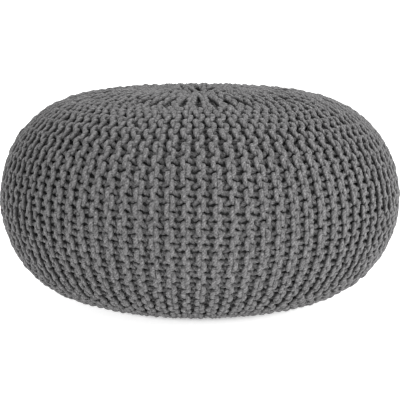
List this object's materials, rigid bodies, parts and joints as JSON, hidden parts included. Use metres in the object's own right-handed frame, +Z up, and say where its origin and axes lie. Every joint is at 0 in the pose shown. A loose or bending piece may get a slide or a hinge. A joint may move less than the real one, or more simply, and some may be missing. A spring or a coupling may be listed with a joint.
{
  "type": "knitted pouf",
  "caption": "Round, flat-topped floor cushion in a thick garter-stitch knitted cover, gathered at the crown and the base; a seat or footrest.",
  "frame": {"origin": "on the floor, under the middle of the pouf's box", "axes": "+Z up through the gather in the crown; +X to the right and +Y away as seen from the front"},
  "size_m": [0.552, 0.548, 0.2878],
  "materials": {
    "cotton_cord": "matte dark grey knitted cotton cord"
  },
  "bodies": {
    "root": {"knitted_pouf": "cotton_cord"}
  },
  "joints": []
}
